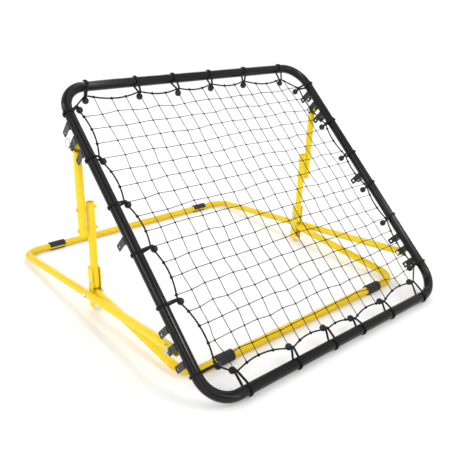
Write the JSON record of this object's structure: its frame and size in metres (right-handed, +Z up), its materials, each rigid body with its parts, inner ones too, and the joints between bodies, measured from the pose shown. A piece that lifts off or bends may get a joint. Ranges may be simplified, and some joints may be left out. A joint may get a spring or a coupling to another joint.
{
  "type": "pitch back rebounder",
  "caption": "Square net on a black tube frame leaning back on two hinged yellow tube bases, tied with ball bungees and propped by pinned two-piece struts.",
  "frame": {"origin": "centre of the bounding box's bottom face, on the floor", "axes": "+Z up, the net faces -Y and up, +X to the right of someone standing in front"},
  "size_m": [1.037, 1.2036, 0.7073],
  "materials": {
    "black_steel": "gloss",
    "yellow_steel": "gloss",
    "rubber": "matte",
    "zinc_steel": "satin",
    "cord": "matte",
    "ball_plastic": "gloss"
  },
  "bodies": {
    "rear_base": {"rear_base_frame": "yellow_steel", "rear_left_foot": "rubber", "rear_right_foot": "rubber", "left_base_pin": "zinc_steel", "right_base_pin": "zinc_steel", "left_base_clip": "zinc_steel", "right_base_clip": "zinc_steel", "left_pivot_bolt": "zinc_steel", "right_pivot_bolt": "zinc_steel", "left_pivot_nut": "zinc_steel", "right_pivot_nut": "zinc_steel", "left_pivot_spacer": "zinc_steel", "right_pivot_spacer": "zinc_steel"},
    "front_base": {"front_base_frame": "yellow_steel", "front_left_foot": "rubber", "front_right_foot": "rubber"},
    "left_struts": {"left_yoke": "yellow_steel", "left_lower_strut": "yellow_steel", "left_upper_strut": "yellow_steel", "left_strut_bolts": "yellow_steel", "left_strut_nuts": "yellow_steel", "left_strut_spacers": "yellow_steel", "left_yoke_pin": "zinc_steel", "left_yoke_clip": "zinc_steel"},
    "right_struts": {"right_yoke": "yellow_steel", "right_lower_strut": "yellow_steel", "right_upper_strut": "yellow_steel", "right_strut_bolts": "yellow_steel", "right_strut_nuts": "yellow_steel", "right_strut_spacers": "yellow_steel", "right_yoke_pin": "zinc_steel", "right_yoke_clip": "zinc_steel"},
    "net_frame_body": {"net_frame": "black_steel", "left_low_lugs": "black_steel", "right_low_lugs": "black_steel", "left_mid_lug": "black_steel", "right_mid_lug": "black_steel", "left_high_lugs": "black_steel", "right_high_lugs": "black_steel", "left_strut_pin": "zinc_steel", "right_strut_pin": "zinc_steel", "left_strut_clip": "zinc_steel", "right_strut_clip": "zinc_steel", "net": "cord", "border_rope": "cord", "top_tie_cords": "cord", "bottom_tie_cords": "cord", "left_tie_cords": "cord", "right_tie_cords": "cord", "top_tie_balls": "ball_plastic", "bottom_tie_balls": "ball_plastic", "left_tie_balls": "ball_plastic", "right_tie_balls": "ball_plastic"}
  },
  "joints": [
    {"name": "frame_fold", "type": "hinge", "parent": "rear_base", "child": "net_frame_body", "pos_m": [0, -0.42846, 0.1072], "axis": [-1, 0, 0], "range_deg": [0, 43]},
    {"name": "front_base_fold", "type": "hinge", "parent": "rear_base", "child": "front_base", "pos_m": [0, 0.04611, 0.06437], "axis": [-1, 0, 0], "range_deg": [-5, 0]},
    {"name": "left_strut_fold", "type": "hinge", "parent": "rear_base", "child": "left_struts", "pos_m": [0, 0.04611, 0.06437], "axis": [-1, 0, 0], "range_deg": [0, 86]},
    {"name": "right_strut_fold", "type": "hinge", "parent": "rear_base", "child": "right_struts", "pos_m": [0, 0.04611, 0.06437], "axis": [-1, 0, 0], "range_deg": [0, 86]}
  ],
  "couplings": [
    {"joint": "left_strut_fold", "follows": "frame_fold", "ratio": 2},
    {"joint": "right_strut_fold", "follows": "frame_fold", "ratio": 2}
  ]
}
